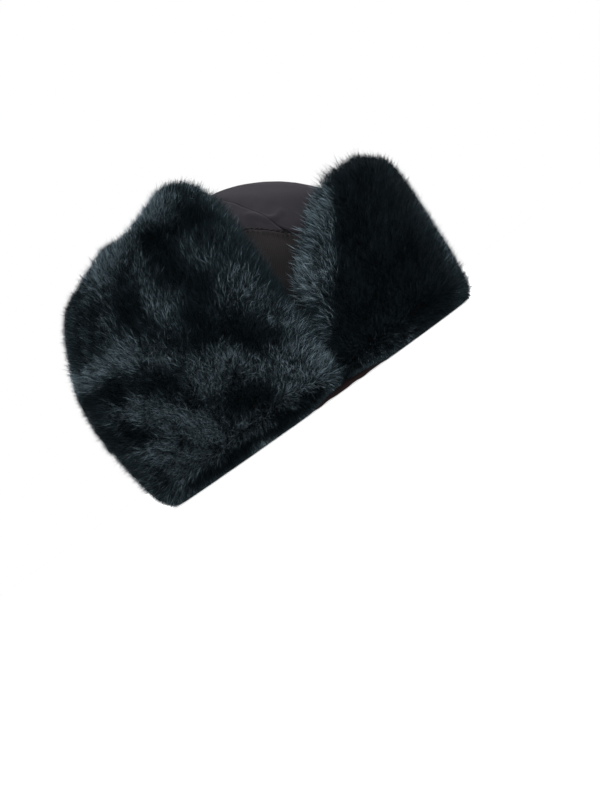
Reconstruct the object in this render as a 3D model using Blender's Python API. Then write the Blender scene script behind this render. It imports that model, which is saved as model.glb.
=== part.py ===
"""Ushanka: a round cloth crown with a fur visor and fur ear and neck flaps folded up.

The hat stands on its rim, as it would by itself. The visor faces -Y, the wearer's right
side is at -X, and the origin is the middle of the ground that the hat stands on.
"""

import math
from collections import namedtuple

import bmesh
import bpy
from mathutils import Matrix, Vector

# Head opening, inside the sweatband.
HEAD_LENGTH = 0.198
HEAD_WIDTH = 0.163

# Crown, outside.
CROWN_HEIGHT = 0.1555
CROWN_SHOULDER = 0.054
GORES = 6
SEAM_SIDE_HEIGHT = CROWN_HEIGHT - 0.037
SEAM_FRONT_HEIGHT = CROWN_HEIGHT - 0.0755
SEAM_DIP_START = 0.30
SEAM_DIP_END = 0.72
APEX_RADIUS = 0.0008

# Cloth and fur.
CLOTH = 0.0016
BAND_CLOTH = 0.0020
SWEATBAND_CLOTH = 0.0012
SWEATBAND_HEIGHT = 0.032
FUR_DEPTH = 0.0165
FUR_EDGE_DEPTH = 0.0026
EDGE_ROUND = 0.017
GAP = 0.0003
SEWN_GAP = 0.0006

# Ear and neck flap, one piece from the right ear round the back to the left ear.
FLAP_TIP_HEIGHT = CROWN_HEIGHT + 0.0055
FLAP_FRONT = 0.0215
FLAP_RIM_DEPTH = 0.0105
FLAP_RIM_ROUND = 0.026

# Visor, turned up in front.
VISOR_HEIGHT = 0.1135
VISOR_RIM_DEPTH = 0.0135
VISOR_RIM_ROUND = 0.014

# The rim of the fur lifts a little beside each ear and shows the sweatband.
RIM_LIFT = 0.0042
RIM_LIFT_MIDDLE = 0.024
RIM_LIFT_REACH = 0.031
SWEATBAND_CLEARANCE = 0.0006
CLOTH_CLEARANCE = 0.0030

# Tape that ties the two ear flaps together over the top of the crown.
TIE_WIDTH = 0.011
TIE_CLOTH = 0.0014
TIE_WAY = 0.16
TIE_MIDDLE_HEIGHT = CROWN_HEIGHT + 0.002
TIE_END_HEIGHT = CROWN_HEIGHT - 0.0065
TIE_CLEARANCE = 0.0009

# Heights are shares of the flap's tip height, sides and backs of the crown's half sizes.
FlapSection = namedtuple("FlapSection", "height side back")
FLAP_SECTIONS = (
    FlapSection(height=0.00, side=1.000, back=1.000),
    FlapSection(height=0.10, side=1.012, back=1.020),
    FlapSection(height=0.28, side=1.052, back=1.048),
    FlapSection(height=0.44, side=1.075, back=1.078),
    FlapSection(height=0.54, side=1.062, back=1.068),
    FlapSection(height=0.61, side=1.015, back=1.022),
    FlapSection(height=0.73, side=0.905, back=0.925),
    FlapSection(height=0.82, side=0.775, back=0.850),
    FlapSection(height=0.89, side=0.640, back=0.768),
    FlapSection(height=0.96, side=0.425, back=0.680),
    FlapSection(height=1.00, side=0.280, back=0.630),
)

# The free top edge. A way of 0 is the front edge of an ear flap, 1 the middle of the back.
FlapEdge = namedtuple("FlapEdge", "way right left")
FLAP_EDGE = (
    FlapEdge(way=0.00, right=0.833, left=0.833),
    FlapEdge(way=0.03, right=0.924, left=0.919),
    FlapEdge(way=0.06, right=0.970, left=0.965),
    FlapEdge(way=0.11, right=1.000, left=0.992),
    FlapEdge(way=0.16, right=0.997, left=0.984),
    FlapEdge(way=0.30, right=0.964, left=0.964),
    FlapEdge(way=0.43, right=0.936, left=0.956),
    FlapEdge(way=0.48, right=0.960, left=0.957),
    FlapEdge(way=0.53, right=0.955, left=0.961),
    FlapEdge(way=0.58, right=0.943, left=0.963),
    FlapEdge(way=0.66, right=0.920, left=0.957),
    FlapEdge(way=0.75, right=0.908, left=0.934),
    FlapEdge(way=0.90, right=0.899, left=0.906),
    FlapEdge(way=1.00, right=0.895, left=0.895),
)

# Dents and rolls of the flap's fur. Heights are shares of the tip height, depths of the fur.
FlapDent = namedtuple("FlapDent", "way height reach rise depth")
FLAP_DENTS = (
    FlapDent(way=0.15, height=0.80, reach=0.17, rise=0.065, depth=-0.46),
    FlapDent(way=0.17, height=0.94, reach=0.22, rise=0.050, depth=0.14),
    FlapDent(way=0.27, height=0.68, reach=0.05, rise=0.170, depth=-0.26),
    FlapDent(way=0.22, height=0.36, reach=0.11, rise=0.060, depth=-0.16),
    FlapDent(way=0.31, height=0.22, reach=0.08, rise=0.045, depth=-0.18),
    FlapDent(way=0.92, height=0.50, reach=0.34, rise=0.032, depth=-0.20),
)

# Heights are shares of the visor's height. Fronts, sides and the distance of the two ends
# in front of the hat's middle are shares of the crown's half sizes.
VisorSection = namedtuple("VisorSection", "height front side end")
VISOR_SECTIONS = (
    VisorSection(height=0.00, front=1.000, side=1.000, end=0.238),
    VisorSection(height=0.20, front=1.019, side=1.016, end=0.240),
    VisorSection(height=0.40, front=1.034, side=1.032, end=0.252),
    VisorSection(height=0.62, front=1.046, side=1.042, end=0.283),
    VisorSection(height=0.82, front=1.052, side=1.032, end=0.335),
    VisorSection(height=1.00, front=1.042, side=1.005, end=0.345),
)

# The visor's free edge. A way of 0 is its end beside an ear, 1 the middle of the forehead.
VisorEdge = namedtuple("VisorEdge", "way height")
VISOR_EDGE = (
    VisorEdge(way=0.00, height=0.600),
    VisorEdge(way=0.05, height=0.695),
    VisorEdge(way=0.12, height=0.785),
    VisorEdge(way=0.20, height=0.866),
    VisorEdge(way=0.275, height=0.918),
    VisorEdge(way=0.35, height=0.962),
    VisorEdge(way=0.45, height=0.996),
    VisorEdge(way=0.62, height=1.000),
    VisorEdge(way=1.00, height=0.992),
)

# Where a sheet has its rows of points, from its rim to its free edge.
SHEET_ROWS = (0.0, 0.04, 0.10, 0.20, 0.32, 0.44, 0.53, 0.60, 0.70, 0.80, 0.89, 0.955, 1.0)
END_STEPS = (0.0, 0.012, 0.032, 0.06)
FLAP_STEPS = 20
VISOR_STEPS = 10
TIE_STEPS = 10
BAND_ROWS = 6
GORE_STEPS = 8
GORE_ROWS = 5
RING_STEPS = GORES * GORE_STEPS

RIGHT = -1
LEFT = 1

# Colours and roughness of the three materials.
Finish = namedtuple("Finish", "colour roughness")
CROWN_CLOTH = Finish(colour=(0.022, 0.018, 0.024), roughness=0.85)
LINING_CLOTH = Finish(colour=(0.020, 0.010, 0.010), roughness=0.7)
FUR = Finish(colour=(0.006, 0.010, 0.014), roughness=0.9)
SHARP_ANGLE = math.radians(50)


def clear_scene():
    """Start from an empty scene."""
    for item in list(bpy.data.objects):
        bpy.data.objects.remove(item, do_unlink=True)


def between(low, high, share):
    """The value at a share of the way from low to high."""
    return low + (high - low) * share


def eased(share):
    """A share of 0 to 1 that starts and ends gently."""
    share = min(max(share, 0.0), 1.0)
    return share * share * (3.0 - 2.0 * share)


def read_table(rows, key, column, at):
    """The value of a column on the smooth curve through a table's rows."""
    keys = [getattr(row, key) for row in rows]
    values = [getattr(row, column) for row in rows]
    at = min(max(at, keys[0]), keys[-1])
    last = len(keys) - 1
    after = next(i for i in range(1, last + 1) if at <= keys[i])

    def slope(i):
        low, high = max(i - 1, 0), min(i + 1, last)
        return (values[high] - values[low]) / (keys[high] - keys[low])

    step = keys[after] - keys[after - 1]
    t = (at - keys[after - 1]) / step
    start, end = values[after - 1], values[after]
    leave, arrive = slope(after - 1) * step, slope(after) * step
    return (
        start * (2 * t**3 - 3 * t**2 + 1)
        + leave * (t**3 - 2 * t**2 + t)
        + end * (3 * t**2 - 2 * t**3)
        + arrive * (t**3 - t**2)
    )


def crown_half_sizes():
    """Half length and half width of the crown, outside."""
    wall = SWEATBAND_CLOTH + GAP + BAND_CLOTH
    return HEAD_LENGTH / 2 + wall, HEAD_WIDTH / 2 + wall


def crown_point(angle, height, inset=0.0):
    """A point of the crown. Angles turn from the front to the wearer's right, then the back."""
    half_length, half_width = crown_half_sizes()
    span = CROWN_HEIGHT - CROWN_SHOULDER
    share = min(max((height - CROWN_SHOULDER) / span, 0.0), 1.0)
    narrowing = math.sqrt(1.0 - share * share)
    across = -half_width * narrowing * math.sin(angle)
    along = -half_length * narrowing * math.cos(angle)
    normal = Vector((across / half_width**2, along / half_length**2, share / span)).normalized()
    return Vector((across, along, height)) - normal * inset


def seam_height(angle):
    """Height of the seam between side band and gores: it dips behind the visor."""
    dip = eased((math.cos(angle) - SEAM_DIP_START) / (SEAM_DIP_END - SEAM_DIP_START))
    return between(SEAM_SIDE_HEIGHT, SEAM_FRONT_HEIGHT, dip)


def rim_height(forward):
    """Height of the fur's lower edge: on the ground, but lifted beside each ear."""
    off = (forward - RIM_LIFT_MIDDLE) / RIM_LIFT_REACH
    return RIM_LIFT * eased(1.0 - abs(off))


def mirrored_ways(steps):
    """Sides and ways of a sheet's columns: right end, middle, left end."""
    ways = list(END_STEPS) + [between(END_STEPS[-1], 1.0, i / steps) for i in range(1, steps + 1)]
    return [(RIGHT, way) for way in ways] + [(LEFT, way) for way in reversed(ways[:-1])]


def flap_angle(way):
    """Plan angle of a column of the flap."""
    half_length = crown_half_sizes()[0]
    front = math.acos(FLAP_FRONT / half_length)
    return between(front, math.pi, way)


def flap_point(side, way, height):
    """A point of the flap's cloth face, which faces the crown."""
    half_length, half_width = crown_half_sizes()
    share = height / FLAP_TIP_HEIGHT
    angle = flap_angle(way)
    across = read_table(FLAP_SECTIONS, "height", "side", share) * half_width + SEWN_GAP
    back = read_table(FLAP_SECTIONS, "height", "back", share) * half_length + SEWN_GAP
    along = half_length + SEWN_GAP if math.cos(angle) > 0.0 else back
    return Vector((side * across * math.sin(angle), -along * math.cos(angle), height))


def flap_top(side, way):
    """Height of the flap's free edge."""
    column = "right" if side == RIGHT else "left"
    return FLAP_TIP_HEIGHT * read_table(FLAP_EDGE, "way", column, way)


def visor_point(side, way, height):
    """A point of the visor's cloth face, which faces the crown."""
    half_length, half_width = crown_half_sizes()
    share = height / VISOR_HEIGHT
    end = math.acos(read_table(VISOR_SECTIONS, "height", "end", share))
    angle = between(end, 0.0, way)
    across = read_table(VISOR_SECTIONS, "height", "side", share) * half_width + SEWN_GAP
    along = read_table(VISOR_SECTIONS, "height", "front", share) * half_length + SEWN_GAP
    return Vector((side * across * math.sin(angle), -along * math.cos(angle), height))


def visor_top(_side, way):
    """Height of the visor's free edge, the same on both sides."""
    return VISOR_HEIGHT * read_table(VISOR_EDGE, "way", "height", way)


def standing_sheet(ways, point, top):
    """Points of a flap's cloth face, [column][row], from the rim up to the free edge."""
    sheet = []
    for side, way in ways:
        rim = rim_height(-point(side, way, 0.0).y)
        heights = [between(rim, top(side, way), row) for row in SHEET_ROWS]
        sheet.append([point(side, way, height) for height in heights])
    return sheet


def outward_normals(sheet):
    """Unit normals of a sheet of points, [column][row], whose columns run clockwise from above."""
    last_column, last_row = len(sheet) - 1, len(sheet[0]) - 1
    normals = []
    for c, column in enumerate(sheet):
        before, after = sheet[max(c - 1, 0)], sheet[min(c + 1, last_column)]
        normals.append([])
        for r in range(last_row + 1):
            around = after[r] - before[r]
            upward = column[min(r + 1, last_row)] - column[max(r - 1, 0)]
            normals[c].append(upward.cross(around).normalized())
    return normals


def moved_out(sheet, depth):
    """The sheet with each point moved outwards by its depth, and the rim kept level."""
    normals = outward_normals(sheet)
    outer = []
    for c, column in enumerate(sheet):
        points = [p + normals[c][r] * depth(c, r) for r, p in enumerate(column)]
        points[0].z = column[0].z
        outer.append(points)
    return outer


def trimmed(sheet):
    """The sheet without its end columns and top row, its rim a little off the ground."""
    columns = [column[:-1] for column in sheet[1:-1]]
    for column in columns:
        lift = CLOTH_CLEARANCE / (column[1].z - column[0].z)
        column[0] = column[0].lerp(column[1], lift)
    return columns


def shell_mesh(name, inner, outer, ring=False):
    """One closed mesh between an inner and an outer sheet of points."""
    mesh = bmesh.new()
    sheets = [[[mesh.verts.new(p) for p in column] for column in sheet] for sheet in (inner, outer)]
    count, rows = len(inner), len(inner[0])
    steps = count if ring else count - 1
    for c in range(steps):
        d = (c + 1) % count
        for r in range(rows - 1):
            for sheet in sheets:
                mesh.faces.new((sheet[c][r], sheet[d][r], sheet[d][r + 1], sheet[c][r + 1]))
        for r in (0, rows - 1):
            mesh.faces.new((sheets[0][c][r], sheets[0][d][r], sheets[1][d][r], sheets[1][c][r]))
    if not ring:
        for c in (0, count - 1):
            for r in range(rows - 1):
                mesh.faces.new(
                    (sheets[0][c][r], sheets[0][c][r + 1], sheets[1][c][r + 1], sheets[1][c][r])
                )
    bmesh.ops.recalc_face_normals(mesh, faces=mesh.faces)
    data = bpy.data.meshes.new(name)
    mesh.to_mesh(data)
    mesh.free()
    return data


def add_part(name, data, finish):
    """Put a mesh in the scene with a material of its own."""
    part = bpy.data.objects.new(name, data)
    bpy.context.scene.collection.objects.link(part)
    material = bpy.data.materials.new(name)
    material.use_nodes = True
    shader = material.node_tree.nodes["Principled BSDF"]
    shader.inputs["Base Color"].default_value = (*finish.colour, 1.0)
    shader.inputs["Roughness"].default_value = finish.roughness
    shader.inputs["Metallic"].default_value = 0.0
    data.materials.append(material)
    data.shade_smooth()
    data.set_sharp_from_angle(angle=SHARP_ANGLE)


def edge_distances(sheet):
    """For each point of a sheet, how far it is from the sheet's ends and from its free top edge."""
    count, rows = len(sheet), len(sheet[0])
    distances = []
    for c in range(count):
        column = []
        for r in range(rows):
            from_start = sum((sheet[i + 1][r] - sheet[i][r]).length for i in range(c))
            from_end = sum((sheet[i + 1][r] - sheet[i][r]).length for i in range(c, count - 1))
            from_top = sum((sheet[c][i + 1] - sheet[c][i]).length for i in range(r, rows - 1))
            column.append((min(from_start, from_end), from_top))
        distances.append(column)
    return distances


def rounding(distance):
    """Share of the full fur depth at a distance from a free edge, where the pile bends round."""
    off = 1.0 - min(distance / EDGE_ROUND, 1.0)
    return math.sqrt(1.0 - off * off)


def fur_depth(distance, rise, rim_depth, rim_round):
    """Depth of the pile: thin at the free edges and where it rests on the ground."""
    to_end, to_top = distance
    edged = between(FUR_EDGE_DEPTH, FUR_DEPTH, rounding(to_end) * rounding(to_top))
    return edged * between(rim_depth / FUR_DEPTH, 1.0, math.sqrt(eased(rise / rim_round)))


def dent_depth(way, height):
    """How far the dents and rolls of the flap move its fur at a place."""
    share = height / FLAP_TIP_HEIGHT
    moved = 0.0
    for dent in FLAP_DENTS:
        off = ((way - dent.way) / dent.reach) ** 2 + ((share - dent.height) / dent.rise) ** 2
        moved += dent.depth * FUR_DEPTH * math.exp(-off)
    return moved


def build_flap():
    """The ear and neck flap: the cloth side, and the outer form of the pile."""
    ways = mirrored_ways(FLAP_STEPS)
    sheet = standing_sheet(ways, flap_point, flap_top)
    add_cloth_side("ear_and_neck_flap_cloth", sheet)
    distances = edge_distances(sheet)

    def depth(c, r):
        place = sheet[c][r]
        rise = place.z - sheet[c][0].z
        pile = fur_depth(distances[c][r], rise, FLAP_RIM_DEPTH, FLAP_RIM_ROUND)
        full = pile / FUR_DEPTH
        return pile + dent_depth(ways[c][1], place.z) * full * full

    add_fur_side("ear_and_neck_flap_fur", sheet, depth)


def build_visor():
    """The visor: the cloth side, and the outer form of the pile."""
    ways = [(-side, way) for side, way in mirrored_ways(VISOR_STEPS)]
    sheet = standing_sheet(ways, visor_point, visor_top)
    add_cloth_side("visor_cloth", sheet)
    distances = edge_distances(sheet)

    def depth(c, r):
        rise = sheet[c][r].z - sheet[c][0].z
        return fur_depth(distances[c][r], rise, VISOR_RIM_DEPTH, VISOR_RIM_ROUND)

    add_fur_side("visor_fur", sheet, depth)


def add_cloth_side(name, sheet):
    """The cloth wall behind the fur, stopped short of its edges."""
    inner = trimmed(sheet)
    outer = trimmed(moved_out(sheet, lambda c, r: CLOTH))
    add_part(name, shell_mesh(name, inner, outer), CROWN_CLOTH)


def add_fur_side(name, sheet, depth):
    """The pile outside the cloth wall, as one solid of its outer form."""
    start = CLOTH + GAP
    inner = moved_out(sheet, lambda c, r: start)
    outer = moved_out(sheet, lambda c, r: start + depth(c, r))
    add_part(name, shell_mesh(name, inner, outer), FUR)


def ring_angles():
    """Plan angles of a ring's columns."""
    return [2 * math.pi * i / RING_STEPS for i in range(RING_STEPS)]


def build_crown_band():
    """Side wall of the crown, from the rim to the seam below the gores."""
    sheets = []
    for inset in (BAND_CLOTH, 0.0):
        sheet = []
        for angle in ring_angles():
            top = seam_height(angle) - GAP / 2
            heights = [between(CLOTH_CLEARANCE, top, r / BAND_ROWS) for r in range(BAND_ROWS + 1)]
            sheet.append([crown_point(angle, height, inset) for height in heights])
        sheets.append(sheet)
    add_part("crown_band", shell_mesh("crown_band", *sheets, ring=True), CROWN_CLOTH)


def gore_height(angle, rise):
    """Height on a gore: a rise of 0 is the seam on the side band, 1 the hole at the apex."""
    half_width = crown_half_sizes()[1]
    span = CROWN_HEIGHT - CROWN_SHOULDER
    lowest = math.asin((seam_height(angle) + GAP / 2 - CROWN_SHOULDER) / span)
    highest = math.acos(APEX_RADIUS / half_width)
    return CROWN_SHOULDER + span * math.sin(between(lowest, highest, rise))


def gore_column(start, share, inset):
    """Points up one column of a gore, whose sides stay a gap apart from the next gores."""
    middle = start + math.pi / GORES
    column = []
    for row in range(GORE_ROWS + 1):
        rise = row / GORE_ROWS
        radius = crown_point(middle, gore_height(middle, rise)).xy.length
        half = math.pi / GORES - GAP / 2 / radius
        angle = middle + between(half, -half, share)
        column.append(crown_point(angle, gore_height(angle, rise), inset))
    return column


def build_crown_gores():
    """The wedge-shaped cloth gores of the crown's dome."""
    for gore in range(GORES):
        start = 2 * math.pi * gore / GORES
        shares = [step / GORE_STEPS for step in range(GORE_STEPS + 1)]
        inner, outer = ([gore_column(start, s, inset) for s in shares] for inset in (CLOTH, 0.0))
        name = f"crown_gore_{gore + 1}"
        add_part(name, shell_mesh(name, inner, outer), CROWN_CLOTH)


def build_sweatband():
    """Thin band inside the rim, which shows below the fur beside each ear."""
    sheets = []
    for outward in (0.0, SWEATBAND_CLOTH):
        half_length = HEAD_LENGTH / 2 + outward
        half_width = HEAD_WIDTH / 2 + outward
        sheet = []
        for angle in ring_angles():
            x = -half_width * math.sin(angle)
            y = -half_length * math.cos(angle)
            sheet.append([Vector((x, y, z)) for z in (SWEATBAND_CLEARANCE, SWEATBAND_HEIGHT)])
        sheets.append(sheet)
    add_part("sweatband", shell_mesh("sweatband", *sheets, ring=True), LINING_CLOTH)


def build_top_tie():
    """Plain tape between the two ear flaps, sewn to their cloth side."""
    seat = flap_point(LEFT, TIE_WAY, TIE_END_HEIGHT + TIE_CLOTH)
    sheets = []
    for lift in (0.0, TIE_CLOTH):
        sheet = []
        for step in range(TIE_STEPS + 1):
            share = between(-1.0, 1.0, step / TIE_STEPS)
            z = between(TIE_MIDDLE_HEIGHT, TIE_END_HEIGHT, share * share) + lift
            x = share * (seat.x - TIE_CLEARANCE)
            edges = (seat.y + TIE_WIDTH / 2, seat.y - TIE_WIDTH / 2)
            sheet.append([Vector((x, y, z)) for y in edges])
        sheets.append(sheet)
    add_part("top_tie", shell_mesh("top_tie", *sheets), CROWN_CLOTH)


def centre_on_ground():
    """Move the hat so that the origin is the middle of its box, on the ground."""
    parts = list(bpy.context.scene.objects)
    lengths = [vertex.co.y for part in parts for vertex in part.data.vertices]
    widths = [vertex.co.x for part in parts for vertex in part.data.vertices]
    middle = Vector(((min(widths) + max(widths)) / 2, (min(lengths) + max(lengths)) / 2, 0.0))
    for part in parts:
        part.data.transform(Matrix.Translation(-middle))


def build_hat():
    """Every piece of the hat, from the inside out."""
    clear_scene()
    build_sweatband()
    build_crown_band()
    build_crown_gores()
    build_flap()
    build_visor()
    build_top_tie()
    centre_on_ground()


build_hat()
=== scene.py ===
"""Looks of the ushanka: its fur, cloth, seams and tape, with the camera and the light."""

import math
from collections import namedtuple

import bmesh
import bpy
import numpy as np
from mathutils import Matrix, Vector


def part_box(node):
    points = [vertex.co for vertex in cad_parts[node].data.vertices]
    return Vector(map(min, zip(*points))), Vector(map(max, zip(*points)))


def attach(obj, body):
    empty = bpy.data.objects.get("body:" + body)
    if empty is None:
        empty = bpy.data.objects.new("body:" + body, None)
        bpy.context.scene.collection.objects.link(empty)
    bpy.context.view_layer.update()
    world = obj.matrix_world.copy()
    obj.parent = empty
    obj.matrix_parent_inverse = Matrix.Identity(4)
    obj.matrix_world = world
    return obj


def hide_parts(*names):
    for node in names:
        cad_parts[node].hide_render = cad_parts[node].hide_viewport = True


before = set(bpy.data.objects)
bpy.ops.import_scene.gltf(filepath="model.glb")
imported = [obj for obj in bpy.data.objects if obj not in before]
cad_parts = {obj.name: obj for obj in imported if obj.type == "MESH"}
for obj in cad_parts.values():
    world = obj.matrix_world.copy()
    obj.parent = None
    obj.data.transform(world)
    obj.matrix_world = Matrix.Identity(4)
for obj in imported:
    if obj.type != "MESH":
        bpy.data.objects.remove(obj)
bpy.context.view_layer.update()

# Picture.
CAMERA_DISTANCE = 1.2
CAMERA_HEIGHT = 0.020
CAMERA_TURN = math.radians(2.0)
PICTURE_MIDDLE = Vector((0.0013, 0.0091, 0.0107))
HAT_TILT = math.radians(35.5)
LENS = 82.9

# Crown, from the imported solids.
CROWN_LOW, CROWN_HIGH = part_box("crown_band")
APEX_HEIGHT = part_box("crown_gore_1")[1].z
CROWN_MIDDLE = (CROWN_LOW + CROWN_HIGH) / 2
HALF_WIDTH = (CROWN_HIGH.x - CROWN_LOW.x) / 2
HALF_LENGTH = (CROWN_HIGH.y - CROWN_LOW.y) / 2
SHOULDER_HEIGHT = 0.054
GORES = 6
SEAM_SIDE_HEIGHT = APEX_HEIGHT - 0.037
SEAM_FRONT_HEIGHT = APEX_HEIGHT - 0.0755
SEAM_DIP_START = 0.30
SEAM_DIP_END = 0.72

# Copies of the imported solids: how near points are welded, which triangles are joined to
# faces and which edges stay sharp when the copy is smoothed.
WELD = 1e-6
JOIN_ANGLE = math.radians(40)
CREASE_ANGLE = math.radians(50)

# Seams of the crown: how deep the cloth sinks at them, how far it is drawn over the gap, and
# how it gathers beside them.
SEAM_DEPTH = 0.0004
SEAM_REACH = 0.0022
SEAM_CLOSE = 0.00022
SEAM_CLOSE_REACH = 0.0012
PUCKER_DEPTH = 0.0004
PUCKER_REACH = 0.007
PUCKERS = 72

# Irregular waves of the cloth, of the patches' outlines and of the pile's length at the rim.
Waves = namedtuple("Waves", "size depth")
CROWN_WAVES = Waves(size=0.016, depth=0.0005)
FLAP_WAVES = Waves(size=0.011, depth=0.00025)
SWEATBAND_WAVES = Waves(size=0.008, depth=0.0002)
PATCH_WAVES = Waves(size=0.009, depth=0.0026)
RIM_PILE_WAVES = Waves(size=0.0022, depth=0.0012)

# Lining of the crown: how far below the outer cloth and below the lowest seam it lies.
CROWN_LINING_DEPTH = 0.0024
CROWN_LINING_DROP = 0.012
CROWN_LINING_WALL = 0.0006

# Stitches.
STITCH_PITCH = 0.0031
STITCH_LENGTH = 0.0017
STITCH_WIDTH = 0.0012
STITCH_ROW = 0.0015
STITCH_RISE = 0.0006
SWEATBAND_ROW_HEIGHT = 0.0285
SWEATBAND_ROW_INSET = 0.0012

# Fur: how deep the pile is, how long its strands are, and how they stand and lie.
PILE_INSET = 0.0039
PILE_LENGTH = 0.0066
RIM_PILE_LENGTH = 0.0036
RIM_PILE_HEIGHT = 0.020
END_PILE_LENGTH = 0.0102
EDGE_PILE_LENGTH = 0.0075
END_PILE_HEIGHT = 0.075
STRAND_WIDTH = 0.00038
TUFT_SPACING = 0.0020
TUFTING = 0.07
LEAN = math.radians(42)
LEAN_SPREAD = math.radians(40)
STRAY = 0.75
GUARD_SHARE = 0.32
SPECK_SHARE = 0.0025
TONE_COLUMNS = 64
NORMAL_SPREAD = 16

# The rim: the cloth and the ground of the pile end a little above the floor, and only the
# tips of the pile reach down to it. Beside each ear the binding of the rim shows.
GROUND = 0.0004
RIM_CLEARANCE = 0.0016
RIM_REACH = 0.012
BARE_START = -0.002
BARE_END = 0.049
BARE_BLEND = 0.006
BARE_HEIGHT = 0.012
BARE_SHARE = 0.6
BINDING_RADIUS = 0.0020

# A region of the fur: its skin, between which distances to the left it lies, its number of
# strands and the seed that places them.
Coat = namedtuple("Coat", "name skin low high strands seed")
COAT_BLEND = 0.012

# How much of the pile catches the light, as a painted highlight from 0 to 1, where no patch changes it.
FLAP_PAINTED_HIGHLIGHT = 0.30
VISOR_FACE_PAINTED_HIGHLIGHT = 0.02
VISOR_END_PAINTED_HIGHLIGHT = 0.66

# The corner along which the visor's face turns into its ends: its distance forward of the
# hat's middle at the rim, and how much further forward it is for each metre up.
VISOR_CORNER = 0.0130
VISOR_CORNER_SLOPE = 0.712

# How far the left side's patches of painted light are from the mirror image of the right side's.
LEFT_PATCH_SHIFT = (0.0, 0.012, -0.006)

# Folds of the crown's cloth beside the right ear flap, from one place to another, both as
# distances forward of the hat's middle and heights. The first two stand out, the others sink.
Fold = namedtuple("Fold", "forward height to_forward to_height reach depth")
FOLDS = (
    Fold(0.0330, 0.1230, 0.0438, 0.1118, 0.0021, 0.0013),
    Fold(0.0438, 0.1118, 0.0505, 0.1132, 0.0021, 0.0013),
    Fold(0.0450, 0.1160, 0.0470, 0.1200, 0.0040, -0.0007),
    Fold(0.0350, 0.1150, 0.0380, 0.1080, 0.0030, -0.0006),
    Fold(0.0300, 0.1300, 0.0450, 0.1270, 0.0050, -0.0006),
)

# Light and dark patches of the fur, painted highlight and painted shade where its nap turns: from
# one place to another, both as distances forward of the hat's middle and heights, with how far a
# patch reaches, in metres. A later patch covers an earlier one.
Patch = namedtuple("Patch", "forward height to_forward to_height reach tone")
RIGHT_FLAP_LIGHT_PATCHES = (
    Patch(-0.012, 0.160, -0.040, 0.153, 0.0075, 1.30),
    Patch(-0.040, 0.153, -0.070, 0.143, 0.0075, 1.30),
    Patch(0.001, 0.161, 0.012, 0.148, 0.006, 0.36),
    Patch(-0.044, 0.132, -0.042, 0.121, 0.008, 0.48),
    Patch(-0.062, 0.139, -0.075, 0.116, 0.006, 0.50),
    Patch(0.007, 0.093, 0.005, 0.066, 0.008, 0.78),
    Patch(-0.046, 0.106, -0.036, 0.086, 0.0078, 0.60),
    Patch(-0.011, 0.126, -0.004, 0.116, 0.006, 0.42),
    Patch(0.005, 0.121, 0.010, 0.106, 0.008, 0.26),
    Patch(-0.033, 0.084, -0.001, 0.043, 0.0092, 0.02),
    Patch(-0.027, 0.143, -0.025, 0.122, 0.0088, 0.02),
    Patch(-0.025, 0.122, -0.016, 0.098, 0.007, 0.04),
    Patch(0.002, 0.140, 0.011, 0.128, 0.007, 0.02),
    Patch(-0.060, 0.122, -0.061, 0.109, 0.006, 0.05),
    Patch(-0.007, 0.138, -0.029, 0.147, 0.003, 0.03),
    Patch(0.0175, 0.108, 0.0190, 0.066, 0.0045, 0.10),
    Patch(-0.118, 0.098, -0.073, 0.092, 0.007, 1.10),
    Patch(-0.073, 0.092, -0.056, 0.073, 0.006, 0.90),
    Patch(-0.056, 0.067, -0.042, 0.050, 0.007, 0.55),
    Patch(-0.030, 0.055, -0.019, 0.038, 0.008, 0.80),
    Patch(0.013, 0.052, 0.016, 0.046, 0.005, 0.50),
    Patch(-0.003, 0.036, 0.013, 0.025, 0.0095, 0.88),
    Patch(-0.020, 0.020, 0.010, 0.015, 0.007, 0.95),
    Patch(-0.086, 0.060, -0.078, 0.035, 0.015, 0.95),
    Patch(-0.092, 0.040, -0.084, 0.020, 0.014, 1.00),
    Patch(-0.069, 0.030, -0.045, 0.014, 0.011, 0.92),
    Patch(-0.048, 0.014, -0.020, 0.015, 0.007, 0.85),
    Patch(-0.051, 0.050, -0.035, 0.043, 0.006, 0.75),
    Patch(-0.101, 0.072, -0.093, 0.060, 0.007, 1.00),
    Patch(-0.126, 0.086, -0.095, 0.077, 0.0072, 0.01),
    Patch(-0.095, 0.077, -0.060, 0.063, 0.0062, 0.01),
    Patch(-0.040, 0.029, -0.021, 0.024, 0.0082, 0.01),
    Patch(-0.123, 0.062, -0.093, 0.047, 0.0072, 0.02),
    Patch(-0.127, 0.075, -0.124, 0.015, 0.004, 0.12),
    Patch(-0.092, 0.009, -0.051, 0.008, 0.004, 0.03),
    Patch(-0.051, 0.008, 0.006, 0.008, 0.003, 0.03),
)
VISOR_LIGHT_PATCHES = (
    Patch(0.036, 0.008, 0.070, 0.008, 0.010, 0.32),
    Patch(0.030, 0.052, 0.033, 0.048, 0.004, 0.05),
    Patch(0.118, 0.010, 0.122, 0.060, 0.010, 0.30),
    Patch(0.085, 0.112, 0.115, 0.116, 0.008, 0.30),
)


class Value:
    """A node's output that takes part in sums, of numbers or of vectors."""

    def __init__(self, graph, socket):
        self.graph = graph
        self.socket = socket

    def __add__(self, other):
        return self.graph.maths("ADD", self, other)

    def __radd__(self, other):
        return self.graph.maths("ADD", other, self)

    def __sub__(self, other):
        return self.graph.maths("SUBTRACT", self, other)

    def __rsub__(self, other):
        return self.graph.maths("SUBTRACT", other, self)

    def __mul__(self, other):
        return self.graph.maths("MULTIPLY", self, other)

    def __rmul__(self, other):
        return self.graph.maths("MULTIPLY", other, self)

    def __truediv__(self, other):
        return self.graph.maths("DIVIDE", self, other)

    def __rtruediv__(self, other):
        return self.graph.maths("DIVIDE", other, self)

    def is_vector(self):
        """Whether the output is a vector or a colour."""
        return self.socket.type in ("VECTOR", "RGBA")


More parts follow.
